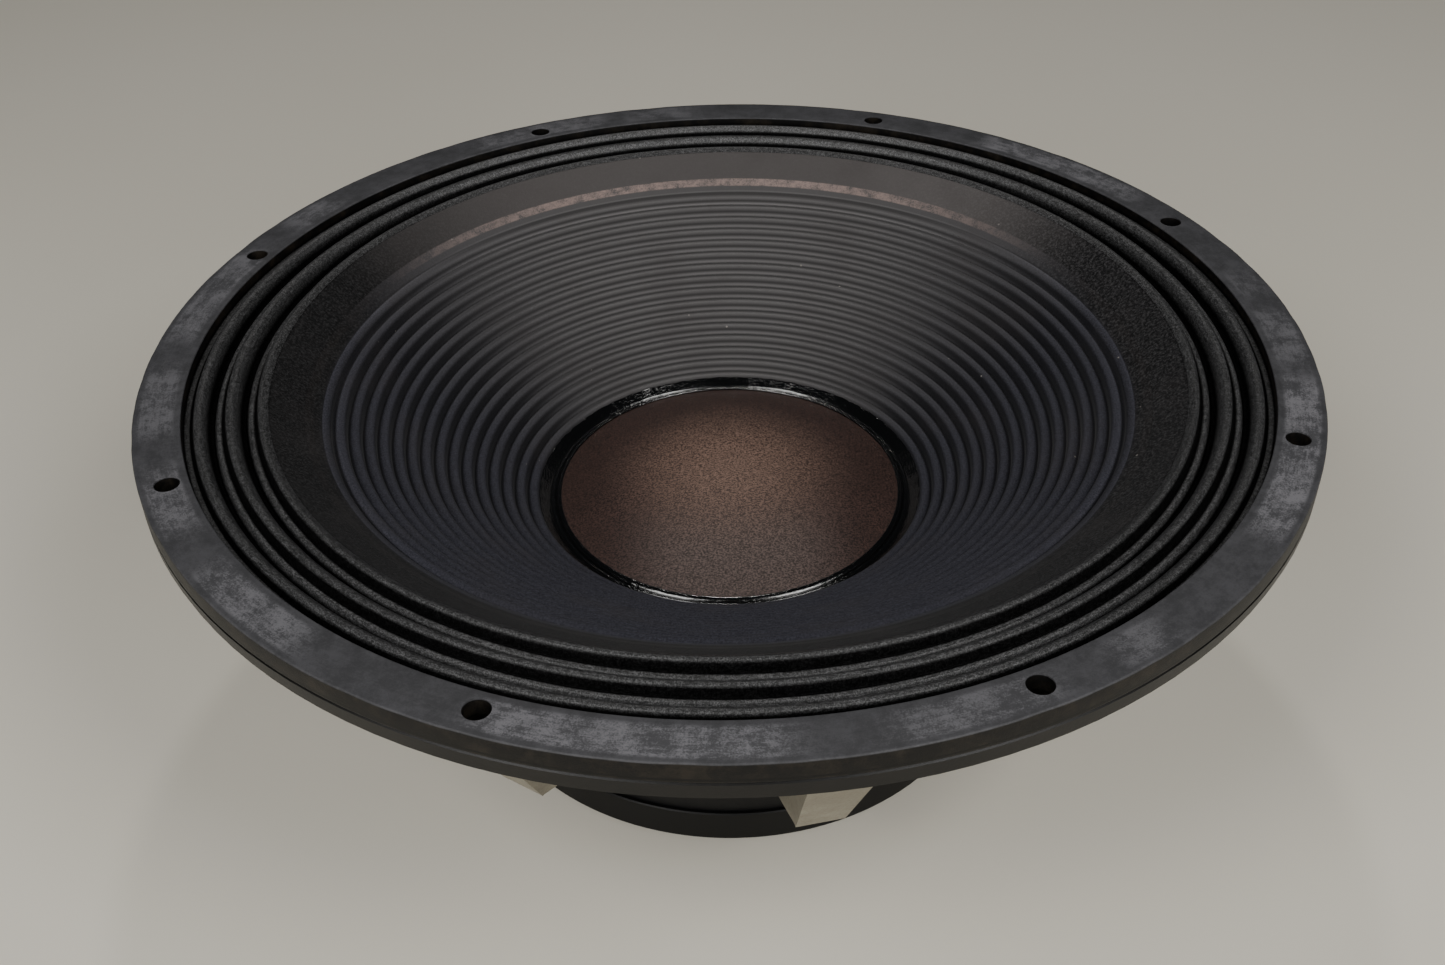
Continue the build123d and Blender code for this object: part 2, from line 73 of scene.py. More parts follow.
# --- sizes ---------------------------------------------------------------------------------------
FLANGE_R, _, GASKET_TOP = reach("front_gasket")
GASKET_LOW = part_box("front_gasket")[0].z / MM
GASKET_INNER_R = 212.3
GASKET_LEDGE_R = 214.4
BOLT_CIRCLE_R = 220.0
BOLT_HOLE_R = 4.6
BOLT_ANGLES = [22.5 + 45 * i for i in range(8)]
CONE_EDGE_R = reach("paper_cone")[0]
CONE_EDGE_Z = 12.4
CONE_SLOPE = 0.683
CONE_NECK_R = 52.2
RIB_COUNT = 15
FIRST_GROOVE_R = 157.7
RIB_PITCH = 5.186
RIB_DEPTH = 3.3
RIB_SHARE_BELOW = 0.6
FELT_INNER_R = 166.5
CONE_THICKNESS = 0.7
CAP_R = 73.0
CAP_SKIRT = 3.6
CAP_THICKNESS = 0.8
CAP_OVERLAP = 1.0
CLOTH_THICKNESS = 0.6
FLOOR_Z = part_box("magnet_boot")[0].z
TERMINAL_ANGLE = 77.5
TERMINAL_OFFSET = 13.0
SPRING_LENGTH = 5.2


# --- mesh helpers --------------------------------------------------------------------------------
def piece(name, verts, faces, material, smooth=True, crease=50):
    """A new mesh object from plain lists, in millimetres."""
    mesh = bpy.data.meshes.new(name)
    mesh.from_pydata((np.asarray(verts, float) * MM).tolist(), [], faces)
    mesh.update()
    obj = bpy.data.objects.new(name, mesh)
    bpy.context.scene.collection.objects.link(obj)
    if smooth:
        mesh.shade_smooth()
        mesh.set_sharp_from_angle(angle=radians(crease))
    mesh.materials.append(material)
    return obj


def turned(name, outline, material, segments=512, crease=50, wobble=None):
    """Revolve a closed outline of (radius, height) points.  wobble(angles, r, z) shifts the points."""
    outline = np.asarray(outline, float)
    count = len(outline)
    angles = np.arange(segments) * 2 * pi / segments
    r = np.repeat(outline[None, :, 0], segments, axis=0)
    z = np.repeat(outline[None, :, 1], segments, axis=0)
    if wobble:
        r, z = wobble(np.repeat(angles[:, None], count, axis=1), r, z)
    verts = np.stack([r * np.cos(angles)[:, None], r * np.sin(angles)[:, None], z], -1).reshape(-1, 3)
    i, j = np.meshgrid(np.arange(segments), np.arange(count), indexing="ij")
    i2, j2 = (i + 1) % segments, (j + 1) % count
    faces = np.stack([i * count + j, i2 * count + j, i2 * count + j2, i * count + j2], -1).reshape(-1, 4)
    return piece(name, verts, faces.tolist(), material, crease=crease)


def close_pole(obj, tolerance=1e-6):
    """Join the vertices of a turned mesh that meet on the axis."""
    bm = bmesh.new()
    bm.from_mesh(obj.data)
    on_axis = [v for v in bm.verts if v.co.x ** 2 + v.co.y ** 2 < tolerance ** 2]
    bmesh.ops.remove_doubles(bm, verts=on_axis, dist=tolerance)
    bm.to_mesh(obj.data)
    bm.free()
    return obj


def applied(obj):
    """Replace an object's mesh by the result of its modifiers."""
    graph = bpy.context.evaluated_depsgraph_get()
    mesh = bpy.data.meshes.new_from_object(obj.evaluated_get(graph))
    obj.modifiers.clear()
    old = obj.data
    obj.data = mesh
    bpy.data.meshes.remove(old)
    return obj


def ripple(angles, waves, seed):
    """Smooth random curve round a ring, between about -1 and 1, from a sum of sines."""
    rng = np.random.default_rng(seed)
    total = np.zeros_like(angles)
    for n in waves:
        total += rng.uniform(0.4, 1.0) * np.sin(n * angles + rng.uniform(0, 2 * pi))
    return total / (0.7 * len(waves))


def smooth_step(t):
    t = np.clip(t, 0, 1)
    return t * t * (3 - 2 * t)


def smoothed(points, sigma, step=0.25):
    """Resample a polyline in radius order and round its corners."""
    points = np.asarray(points, float)
    lengths = np.concatenate([[0], np.cumsum(np.hypot(*np.diff(points, axis=0).T))])
    along = np.linspace(0, lengths[-1], max(4, int(lengths[-1] / step)))
    even = np.stack([np.interp(along, lengths, points[:, k]) for k in (0, 1)], -1)
    reach_n = max(1, int(3 * sigma / step))
    kernel = np.exp(-0.5 * (np.arange(-reach_n, reach_n + 1) * step / sigma) ** 2)
    kernel /= kernel.sum()
    padded = np.pad(even, ((reach_n, reach_n), (0, 0)), mode="edge")
    result = np.stack([np.convolve(padded[:, k], kernel, mode="valid") for k in (0, 1)], -1)
    result[0], result[-1] = even[0], even[-1]
    return result


def thickened(line, thickness):
    """Closed outline of a sheet whose upper side is the given line of (radius, height) points."""
    line = np.asarray(line, float)
    tangent = np.gradient(line, axis=0)
    tangent /= np.maximum(np.hypot(tangent[:, 0], tangent[:, 1]), 1e-9)[:, None]
    normal = np.stack([tangent[:, 1], -tangent[:, 0]], -1)
    if normal[:, 1].mean() > 0:
        normal = -normal
    return np.concatenate([line, (line + normal * thickness)[::-1]])


def blend_by_radius(obj):
    """Flatten the sheet's points onto their radii, bake the object's transform into them, then put the
    original points back: the object's transform is cleared and the sheet keeps its shape.
    """
    mesh = obj.data
    kept = np.zeros(len(mesh.vertices) * 3, np.float32)
    mesh.vertices.foreach_get("co", kept)
    xyz = kept.reshape(-1, 3)
    flat = np.zeros_like(xyz)
    flat[:, 0] = np.hypot(xyz[:, 0], xyz[:, 1])
    mesh.vertices.foreach_set("co", flat.ravel())
    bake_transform(obj)
    mesh.vertices.foreach_set("co", kept)
    mesh.update()
    return obj


def swept(name, path, radius, material, sides=12):
    """A tube along a path of points in millimetres.  radius(length along, angle round) gives its skin."""
    path = np.asarray(path, float)
    ahead = np.gradient(path, axis=0)
    ahead /= np.linalg.norm(ahead, axis=1)[:, None]
    along = np.concatenate([[0], np.cumsum(np.linalg.norm(np.diff(path, axis=0), axis=1))])
    side = np.cross(ahead[0], (0.3, 0.2, 1.0))
    verts = []
    for k, point in enumerate(path):
        side = side - ahead[k] * side.dot(ahead[k])
        side /= np.linalg.norm(side)
        up = np.cross(ahead[k], side)
        for n in range(sides):
            a = 2 * pi * n / sides
            verts.append(point + radius(along[k], a) * (cos(a) * side + sin(a) * up))
    faces = []
    for k in range(len(path) - 1):
        for n in range(sides):
            m = (n + 1) % sides
            faces.append([k * sides + n, k * sides + m, (k + 1) * sides + m, (k + 1) * sides + n])
    faces.append(list(reversed(range(sides))))
    faces.append([len(verts) - sides + n for n in range(sides)])
    return piece(name, verts, faces, material, crease=80)


def smooth_line(points, count):
    """Points along the NURBS spline that has the given control points, in millimetres."""
    curve = bpy.data.curves.new("line", "CURVE")
    curve.dimensions = "3D"
    curve.resolution_u = 32
    spline = curve.splines.new("NURBS")
    spline.points.add(len(points) - 1)
    for control, point in zip(spline.points, points):
        control.co = (*point, 1)
    spline.order_u = 3
    spline.use_endpoint_u = True
    holder = bpy.data.objects.new("line", curve)
    mesh = bpy.data.meshes.new_from_object(holder)
    line = np.array([v.co for v in mesh.vertices])
    bpy.data.objects.remove(holder)
    bpy.data.meshes.remove(mesh)
    bpy.data.curves.remove(curve)
    along = np.concatenate([[0], np.cumsum(np.linalg.norm(np.diff(line, axis=0), axis=1))])
    even = np.linspace(0, along[-1], count)
    return np.stack([np.interp(even, along, line[:, k]) for k in range(3)], -1)


# --- material helpers ----------------------------------------------------------------------------
class Finish:
    """A Principled material and short calls for the nodes that feed it."""

    def __init__(self, name, **constants):
        self.material = bpy.data.materials.new(name)
        self.material.use_nodes = True
        self.tree = self.material.node_tree
        self.shader = self.tree.nodes["Principled BSDF"]
        for socket, value in constants.items():
            self.shader.inputs[socket.replace("_", " ")].default_value = value
        self.place = self.add("ShaderNodeTexCoord").outputs["Object"]

    def add(self, kind, **settings):
        node = self.tree.nodes.new(kind)
        for key, value in settings.items():
            setattr(node, key, value)
        return node

    def feed(self, socket, value):
        if isinstance(value, bpy.types.NodeSocket):
            self.tree.links.new(value, socket)
        else:
            socket.default_value = value

    def set(self, socket, value):
        self.feed(self.shader.inputs[socket], value)

    def math(self, operation, a, b=0.0, c=0.0):
        node = self.add("ShaderNodeMath", operation=operation)
        for slot, value in zip(node.inputs, (a, b, c)):
            self.feed(slot, value)
        return node.outputs[0]

    def scaled(self, vector, factors):
        node = self.add("ShaderNodeVectorMath", operation="MULTIPLY")
        self.feed(node.inputs[0], vector)
        node.inputs[1].default_value = factors
        return node.outputs[0]

    def noise(self, scale, detail=3.0, roughness=0.55, vector=None):
        """Noise with about scale features to a metre, from 0 to 1."""
        node = self.add("ShaderNodeTexNoise")
        self.feed(node.inputs["Vector"], vector or self.place)
        node.inputs["Scale"].default_value = scale
        node.inputs["Detail"].default_value = detail
        node.inputs["Roughness"].default_value = roughness
        return node.outputs["Fac"]

    def cells(self, scale):
        """Distance to the middle of the nearest of scale cells to a metre."""
        node = self.add("ShaderNodeTexVoronoi")
        self.feed(node.inputs["Vector"], self.place)
        node.inputs["Scale"].default_value = scale
        return node.outputs["Distance"]

    def stretch(self, value, low, high, to_low=0.0, to_high=1.0):
        """A soft step from to_low, where the value is low, to to_high, where it is high."""
        node = self.add("ShaderNodeMapRange", interpolation_type="SMOOTHSTEP")
        self.feed(node.inputs["Value"], value)
        limits = {"From Min": low, "From Max": high, "To Min": to_low, "To Max": to_high}
        for socket, number in limits.items():
            node.inputs[socket].default_value = number
        return node.outputs["Result"]

    def product(self, first, *others):
        result = first
        for value in others:
            result = self.math("MULTIPLY", result, value)
        return result

    def plus(self, value, other, factor):
        """value + other * factor"""
        return self.math("ADD", value, self.math("MULTIPLY", other, factor))

    def between(self, share, a, b):
        """The number that lies this share of the way from a to b."""
        return self.math("ADD", a, self.math("MULTIPLY", share, self.math("SUBTRACT", b, a)))

    def band(self, value, rise, fall):
        """1 inside a band and 0 outside it: rise and fall say where each soft edge is 0 and 1."""
        return self.math("MULTIPLY", self.stretch(value, *rise), self.stretch(value, *fall))

    def rough(self, base, spread, uneven):
        """Roughness between base and base + spread, as the uneven value goes from 0 to 1."""
        self.set("Roughness", self.plus(base, uneven, spread))

    def mix(self, share, a, b):
        node = self.add("ShaderNodeMix", data_type="RGBA")
        self.feed(node.inputs[0], share)
        self.feed(node.inputs[6], a)
        self.feed(node.inputs[7], b)
        return node.outputs[2]

    def times(self, colour, factor):
        node = self.add("ShaderNodeVectorMath", operation="SCALE")
        self.feed(node.inputs[0], colour)
        self.feed(node.inputs["Scale"], factor)
        return node.outputs[0]

    def split(self):
        node = self.add("ShaderNodeSeparateXYZ")
        self.feed(node.inputs[0], self.place)
        return node.outputs

    def radius(self):
        x, y, _ = self.split()
        return self.math("SQRT", self.plus(self.product(x, x), y, y))

    def far(self):
        """1 on the far side of the axis, -1 on the near side."""
        _, y, _ = self.split()
        return self.math("DIVIDE", y, self.radius())

    def cone_radius(self):
        """Radius of the foot of the point on the straight cone, in metres."""
        _, _, z = self.split()
        square = 1 / sqrt(1 + CONE_SLOPE ** 2)
        axis_z = (CONE_EDGE_Z - CONE_SLOPE * CONE_EDGE_R) * MM
        rise = self.product(self.math("SUBTRACT", z, axis_z), CONE_SLOPE)
        return self.product(self.math("ADD", self.radius(), rise), square ** 2)

    def angle(self):
        """Degrees round the axis from +X, from -180 to 180."""
        x, y, _ = self.split()
        return self.product(self.math("ARCTAN2", y, x), 180 / pi)

    def ramp(self, value, stops):
        """A straight-line curve through (position, height) stops, heights up to 2."""
        node = self.add("ShaderNodeValToRGB")
        elements = node.color_ramp.elements
        for element, (place, height) in zip(elements, (stops[0], stops[-1])):
            element.position, element.color = place, (height / 2, height / 2, height / 2, 1)
        for place, height in stops[1:-1]:
            elements.new(place).color = (height / 2, height / 2, height / 2, 1)
        self.feed(node.inputs[0], value)
        return self.product(node.outputs[0], 2.0)

    def windows(self, value, spans, soft):
        """A ramp that is raised over each (start, end, amount) span of a value from -180 to 180."""
        stops = []
        for start, end, amount in spans:
            stops += [(start - soft / 2, 0.0), (start + soft / 2, amount)]
            stops += [(end - soft / 2, amount), (end + soft / 2, 0.0)]
        # one node holds 32 stops at most
        halves = []
        for half in (stops[:28], stops[28:]):
            node = self.add("ShaderNodeValToRGB")
            ramp = node.color_ramp
            ramp.elements[0].position, ramp.elements[0].color = 0.0, (0, 0, 0, 1)
            ramp.elements[1].position, ramp.elements[1].color = 1.0, (0, 0, 0, 1)
            for place, amount in half:
                ramp.elements.new((place + 180) / 360).color = (amount, amount, amount, 1)
            self.feed(node.inputs[0], self.math("ADD", 0.5, self.math("DIVIDE", value, 360)))
            halves.append(node.outputs[0])
        return self.math("ADD", *halves)

    def polar(self, around, across):
        """Coordinates that run round the axis, for streaks: features to a metre round and across."""
        x, y, z = self.split()
        r = self.radius()
        join = self.add("ShaderNodeCombineXYZ")
        self.feed(join.inputs[0], self.product(self.math("DIVIDE", x, r), around * 0.2))
        self.feed(join.inputs[1], self.product(self.math("DIVIDE", y, r), around * 0.2))
        self.feed(join.inputs[2], self.product(self.math("ADD", r, z), across))
        return join.outputs[0]

    def bump(self, height, distance_mm, strength=1.0, below=None):
        node = self.add("ShaderNodeBump")
        node.inputs["Strength"].default_value = strength
        node.inputs["Distance"].default_value = distance_mm * MM
        self.feed(node.inputs["Height"], height)
        if below:
            self.feed(node.inputs["Normal"], below)
        self.feed(self.shader.inputs["Normal"], node.outputs[0])
        return node.outputs[0]


def rgb(r, g, b):
    """Linear colour from the 0-255 values a screen would show."""
    def linear(v):
        v /= 255
        return v / 12.92 if v < 0.04045 else ((v + 0.055) / 1.055) ** 2.4
    return (linear(r), linear(g), linear(b), 1.0)


# --- materials -----------------------------------------------------------------------------------
def gasket_rubber():
    """Dull moulded rubber.  Dust clings to stretches of its top: (start, end, amount), in degrees."""
    f = Finish("gasket_rubber", Specular_IOR_Level=0.25)
    _, _, z = f.split()
    dusty = [(-178, -166, 0.5), (-160, -150, 0.7), (-143, -130, 0.8), (-112, -88, 1.0), (-80, -67, 0.6),
             (-60, -55, 0.5), (-38, -12, 1.0), (-9, 1, 0.5), (5, 9, 0.3), (30, 52, 0.8), (92, 100, 0.4),
             (104, 121, 0.6), (143, 150, 0.6), (157, 176, 0.6)]
    stretches = f.windows(f.angle(), dusty, soft=3.0)
    across = f.band(f.radius(), (0.2140, 0.2160), (0.2285, 0.2268))
    clouds = f.noise(95, 9, 0.8)
    strokes = f.noise(1.0, 5, 0.75, vector=f.polar(90, 800))
    specks = f.noise(1500, 3, 0.75)
    smears = f.plus(f.plus(f.product(clouds, 0.7), strokes, 0.3), specks, 0.35)
    where = f.product(stretches, across)
    top = f.stretch(z, (GASKET_TOP - 0.8) * MM, (GASKET_TOP - 0.3) * MM)
    dust = f.product(f.stretch(smears, 0.60, 0.76), f.plus(0.12, where, 0.88), top)
    stain = f.stretch(f.noise(110, 6, 0.75), 0.42, 0.72)
    base = f.mix(f.stretch(clouds, 0.3, 0.7), rgb(64, 64, 66), rgb(74, 74, 77))
    base = f.mix(f.product(where, 0.5), base, rgb(84, 84, 87))
    joint = f.band(f.math("SUBTRACT", z, GASKET_LOW * MM), (0.0011, 0.0014), (0.0022, 0.0019))
    side = f.mix(stain, rgb(10, 9, 9), rgb(38, 33, 27))
    side = f.mix(joint, side, rgb(3, 3, 3))
    base = f.mix(top, side, base)
    f.set("Base Color", f.mix(dust, base, rgb(124, 123, 127)))
    f.rough(0.48, 0.35, dust)
    grain = f.bump(specks, 0.10, 0.7)
    f.bump(strokes, 0.03, 0.4, below=grain)
    return f.material


def surround_cloth():
    """Black coated cloth with coarse grain: painted highlights on the crests and painted shade in the
    valleys, given by radius in mm, one set for the sides and one for the far side.
    """
    f = Finish("surround_cloth")
    inner_mm, width_mm = 180, 34
    grain = f.noise(2300, 2, 0.6)
    weave = f.noise(900, 2, 0.5)
    mixed = f.plus(f.product(grain, 0.7), weave, 0.3)
    place = f.math("DIVIDE", f.math("SUBTRACT", f.radius(), inner_mm * MM), width_mm * MM)

    # ramps of painted light across the rolls, by radius
    def painted_light_ramp(*stops):
        return f.ramp(place, [((radius - inner_mm) / width_mm, tone) for radius, tone in stops])
    # painted light at the sides and at the far side: bright crests, painted shade in the valleys
    painted_light_side = painted_light_ramp((180, 0.8), (181.4, 1.3), (184.2, 1.2), (184.8, 0.12), (186.2, 0.1), (187.0, 1.6),
                    (188.5, 1.5), (189.2, 0.08), (191.2, 0.08), (191.9, 1.0), (193.2, 1.35), (196.0, 1.25),
                    (196.6, 0.1), (198.1, 0.1), (198.9, 1.7), (200.5, 1.6), (201.2, 0.08), (203.1, 0.08),
                    (203.8, 1.0), (205.0, 1.35), (207.9, 1.25), (208.5, 0.08), (209.6, 0.08), (210.2, 1.2),
                    (211.3, 1.2), (211.9, 0.08), (214, 0.08))
    painted_light_back = painted_light_ramp((180, 1.2), (182.8, 1.3), (183.4, 1.1), (184.4, 0.9), (184.9, 0.1), (186.2, 0.1),
                    (187.0, 0.9), (188.5, 0.8), (189.2, 0.08), (191.8, 0.08), (192.2, 1.6), (193.3, 2.0),
                    (194.0, 1.2), (194.7, 0.75), (196.2, 0.65), (196.7, 0.1), (198.2, 0.1), (199.0, 0.9),
                    (200.5, 0.8), (201.2, 0.08), (203.6, 0.08), (204.0, 1.6), (205.2, 2.0), (206.0, 1.6),
                    (208.0, 1.0), (208.5, 0.08), (214, 0.08))
    # blend the painted light from the sides to the far side; the specular level follows the same painted
    # light
    tone = f.between(f.stretch(f.far(), 0.3, 0.9), painted_light_side, painted_light_back)
    cloth = f.mix(f.stretch(mixed, 0.42, 0.66), rgb(22, 22, 22), rgb(88, 88, 89))
    f.set("Base Color", f.times(cloth, tone))
    f.set("Specular IOR Level", f.product(tone, 0.4))
    f.rough(0.30, 0.3, grain)
    f.bump(mixed, 0.20, 0.9)
    return f.material


def spider_cloth(name):
    """Resin-soaked woven cloth: the threads wander a little."""
    f = Finish(name, Sheen_Weight=0.2, Sheen_Roughness=0.4, Specular_IOR_Level=0.4)
    x, y, _ = f.split()
    threads = 2 * pi / 0.0009
    phase = f.product(f.noise(140, 2, 0.5), 5.0)
    warp, weft = (f.math("SINE", f.plus(phase, line, threads)) for line in (x, y))
    weave = f.product(warp, weft)
    fuzz = f.noise(2200, 2, 0.6)
    tone = f.stretch(f.plus(fuzz, weave, 0.2), 0.25, 0.95)
    f.set("Base Color", f.mix(tone, rgb(96, 66, 26), rgb(178, 130, 62)))
    f.rough(0.58, 0.24, fuzz)
    f.bump(f.plus(f.product(weave, 0.5), fuzz, 0.9), 0.16, 0.8)
    return f.material


def cone_paper():
    """Ribbed paper with a felted band at its edge and a worn ring where the two meet."""
    f = Finish("cone_paper", Specular_IOR_Level=0.18, Sheen_Weight=0.05, Sheen_Roughness=0.5)
    x, _, _ = f.split()
    r, far = f.radius(), f.far()
    fibres = f.noise(1500, 3, 0.7)
    flocks = f.noise(900, 4, 0.7)
    clouds = f.noise(30, 4, 0.55)
    body = f.mix(f.stretch(fibres, 0.32, 0.72), rgb(35, 35, 41), rgb(60, 60, 68))
    # painted light: the cone's body is paler towards the far side
    body = f.mix(f.product(f.stretch(far, 0.1, 1.0), 0.75), body, rgb(92, 90, 89))
    # painted light across one rib, from groove to groove: lit crests and flanks, painted shade in the
    # grooves
    from_groove = f.math("SUBTRACT", f.cone_radius(), FIRST_GROOVE_R * MM)
    along = f.math("FRACT", f.math("DIVIDE", from_groove, RIB_PITCH * MM))
    painted_light_side = f.ramp(along, [(0.0, 0.42), (0.34, 0.45), (0.45, 0.75), (0.57, 1.1), (0.67, 1.3), (0.77, 1.5),
                             (0.83, 1.8), (0.88, 1.9), (0.915, 1.0), (0.945, 0.42), (1.0, 0.42)])
    painted_light_back = f.ramp(along, [(0.0, 1.1), (0.09, 2.0), (0.16, 1.3), (0.22, 0.6), (0.28, 0.65), (0.36, 1.1),
                             (0.49, 1.4), (0.62, 0.95), (0.74, 0.55), (0.92, 0.5), (1.0, 1.1)])
    # painted light by side: a flat lift on the near side, the side ramp at the sides, the far-side ramp on
    # the far side
    tone = f.between(f.band(far, (0.95, 0.45), (-0.95, -0.55)), 1.35, painted_light_side)
    tone = f.between(f.stretch(far, 0.35, 0.9), tone, painted_light_back)
    on_ribs = f.band(r, (0.0805, 0.0815), (0.1636, 0.1628))
    body = f.times(body, f.between(on_ribs, 1.0, tone))
    felt = f.mix(f.stretch(flocks, 0.40, 0.72), rgb(5, 5, 6), rgb(52, 51, 52))
    # painted light on the felt: paler towards the far side and brighter towards the right
    felt = f.mix(f.product(f.stretch(far, 0.35, 0.95), 0.75), felt, rgb(95, 91, 90))
    right = f.stretch(f.math("DIVIDE", x, r), 0.3, 0.95)
    felt = f.times(felt, f.plus(1.0, right, 0.8))
    in_felt = f.stretch(r, 0.1682, 0.1688)
    plain = f.product(f.stretch(r, 0.1618, 0.1636), f.stretch(far, 0.75, 0.2))
    colour = f.mix(in_felt, f.mix(plain, body, felt), felt)
    # worn ring at the inner edge of the felted band, strongest on the far side
    ring = f.band(r, (0.1652, 0.1658), (0.1688, 0.1683))
    scrape = f.plus(f.product(f.noise(220, 4, 0.7), 0.6), fibres, 0.4)
    wear = f.product(ring, f.stretch(far, 0.45, 1.0, 0.02, 1.0), f.stretch(scrape, 0.34, 0.60))
    colour = f.mix(wear, colour, rgb(150, 132, 126))
    # pale lint
    lint = f.product(f.stretch(f.cells(95), 0.055, 0.035), f.stretch(f.noise(35, 1), 0.52, 0.6))
    colour = f.mix(lint, colour, rgb(150, 145, 140))
    colour = f.mix(f.stretch(clouds, 0.45, 0.75, 0.0, 0.25), colour, rgb(66, 62, 62))
    f.set("Base Color", colour)
    f.rough(0.55, 0.3, flocks)
    fine = f.bump(fibres, 0.10, 0.7)
    f.bump(f.product(flocks, in_felt), 0.35, 0.8, below=fine)
    return f.material


def cap_paper():
    """Brown felted paper, with a painted sheen that makes it greyer and paler towards the near edge, and a
    painted highlight that makes the middle paler.
    """
    f = Finish("cap_paper", Specular_IOR_Level=0.6, Sheen_Weight=0.06, Sheen_Roughness=0.35)
    f.shader.inputs["Sheen Tint"].default_value = rgb(200, 170, 160)
    grain = f.noise(1700, 4, 0.75, vector=f.scaled(f.place, (0.7, 1.0, 1.0)))
    blotch = f.noise(55, 4, 0.6)
    grain_share = f.stretch(grain, 0.42, 0.58)
    x, y, _ = f.split()
    # mask for the painted sheen towards the near edge of the cap
    near = f.product(f.stretch(y, -0.010, -0.055), f.stretch(f.math("ABSOLUTE", x), 0.055, 0.02))
    brown = f.mix(grain_share, rgb(24, 15, 13), rgb(84, 61, 54))
    brown = f.mix(f.stretch(blotch, 0.35, 0.7, 0.0, 0.35), brown, rgb(44, 31, 27))
    painted_sheen = f.mix(grain_share, rgb(52, 42, 38), rgb(124, 107, 101))
    brown = f.mix(f.product(near, 0.8), brown, painted_sheen)
    # painted highlight: the middle of the cap is paler
    middle = f.mix(grain_share, rgb(58, 41, 34), rgb(150, 121, 106))
    f.set("Base Color", f.mix(f.stretch(f.radius(), 0.008, 0.060), middle, brown))
    f.rough(0.38, 0.25, grain)
    f.bump(grain, 0.14, 0.8)
    return f.material


def glue_black():
    """Wet-looking adhesive laid on with a brush."""
    f = Finish("glue_black", Specular_IOR_Level=1.0, Coat_Weight=1.0, Coat_Roughness=0.04)
    f.set("Base Color", rgb(8, 8, 8))
    brushed = f.noise(1.0, 4, 0.65, vector=f.polar(300, 1200))
    lumps = f.noise(330, 4, 0.65)
    f.rough(0.05, 0.16, brushed)
    first = f.bump(brushed, 0.10, 0.6)
    f.bump(lumps, 0.45, 0.7, below=first)
    return f.material


def frame_metal():
    """Bare sand casting; the flange above it is painted semi-gloss black."""
    f = Finish("frame_metal", Specular_IOR_Level=0.35)
    _, _, z = f.split()
    painted = f.stretch(z, -0.9 * MM, -0.3 * MM)
    sand = f.noise(800, 4, 0.65)
    stain = f.noise(28, 5, 0.6)
    bare = f.mix(f.stretch(stain, 0.3, 0.75), rgb(150, 145, 132), rgb(178, 173, 160))
    bare = f.mix(f.stretch(sand, 0.35, 0.75, 0.0, 0.3), bare, rgb(110, 105, 95))
    paint = f.mix(f.stretch(stain, 0.3, 0.7), rgb(7, 7, 7), rgb(19, 17, 15))
    f.set("Base Color", f.mix(painted, bare, paint))
    f.set("Metallic", f.stretch(painted, 0.4, 0.6, 0.75, 0.0))
    f.rough(f.stretch(painted, 0.4, 0.6, 0.48, 0.30), 0.16, sand)
    f.bump(sand, 0.10, 0.5)
    return f.material


def moulded(name, colour, rough=0.45, grain_mm=0.05, metallic=0.0, scale=700, spread=0.25, **constants):
    """A plain material with fine grain, cloudy tone and uneven gloss."""
    f = Finish(name, Metallic=metallic, **constants)
    grain = f.noise(scale, 3, 0.6)
    clouds = f.noise(40, 4, 0.6)
    darker = tuple(c * (1 - spread) for c in colour[:3]) + (1.0,)
    f.set("Base Color", f.mix(f.stretch(clouds, 0.3, 0.7), darker, colour))
    f.rough(rough - 0.08, 0.16, grain)
    f.bump(grain, grain_mm, 0.5)
    return f.material


def lead_braid(colour):
    """Tinned copper braid for the lead of that colour's terminal."""
    f = Finish(f"lead_braid_{colour}", Metallic=0.85)
    strands = f.noise(2600, 2, 0.5)
    clouds = f.noise(180, 3, 0.6)
    f.set("Base Color", f.mix(f.stretch(clouds, 0.3, 0.7), rgb(150, 138, 118), rgb(184, 176, 160)))
    f.rough(0.3, 0.25, strands)
    f.bump(strands, 0.12, 0.8)
    return f.material


def turned_metal(name, colour, rough=0.3, metallic=1.0):
    """Lathe-turned metal with fine rings."""
    f = Finish(name, Metallic=metallic)
    rings = f.noise(1.0, 3, 0.6, vector=f.polar(6, 2600))
    clouds = f.noise(50, 4, 0.6)
    darker = tuple(c * 0.75 for c in colour[:3]) + (1.0,)
    f.set("Base Color", f.mix(clouds, darker, colour))
    f.rough(rough - 0.06, 0.16, rings)
    f.bump(rings, 0.04, 0.5)
    return f.material


# --- camera, light and floor ---------------------------------------------------------------------
def make_camera():
    """The camera's place comes from a fit to the bolt circle: angles in degrees, distances in mm."""
    azimuth, elevation, roll = -1.97, 36.975, -1.145
    distance, shift_right, shift_up = 628.08, -1.754, -58.213
    turn = (Matrix.Rotation(radians(azimuth), 3, "Z") @ Matrix.Rotation(radians(90 - elevation), 3, "X")
            @ Matrix.Rotation(radians(roll), 3, "Z"))
    camera = bpy.data.objects.new("camera", bpy.data.cameras.new("camera"))
    bpy.context.scene.collection.objects.link(camera)
    place = turn @ Vector((shift_right, shift_up, distance)) + Vector((0, 0, GASKET_TOP))
    camera.matrix_world = Matrix.Translation(place * MM) @ turn.to_4x4()
    camera.data.sensor_width = 36
    camera.data.lens = 1564 / 1445 * 36
    camera.data.clip_start = 0.01
    bpy.context.scene.camera = camera


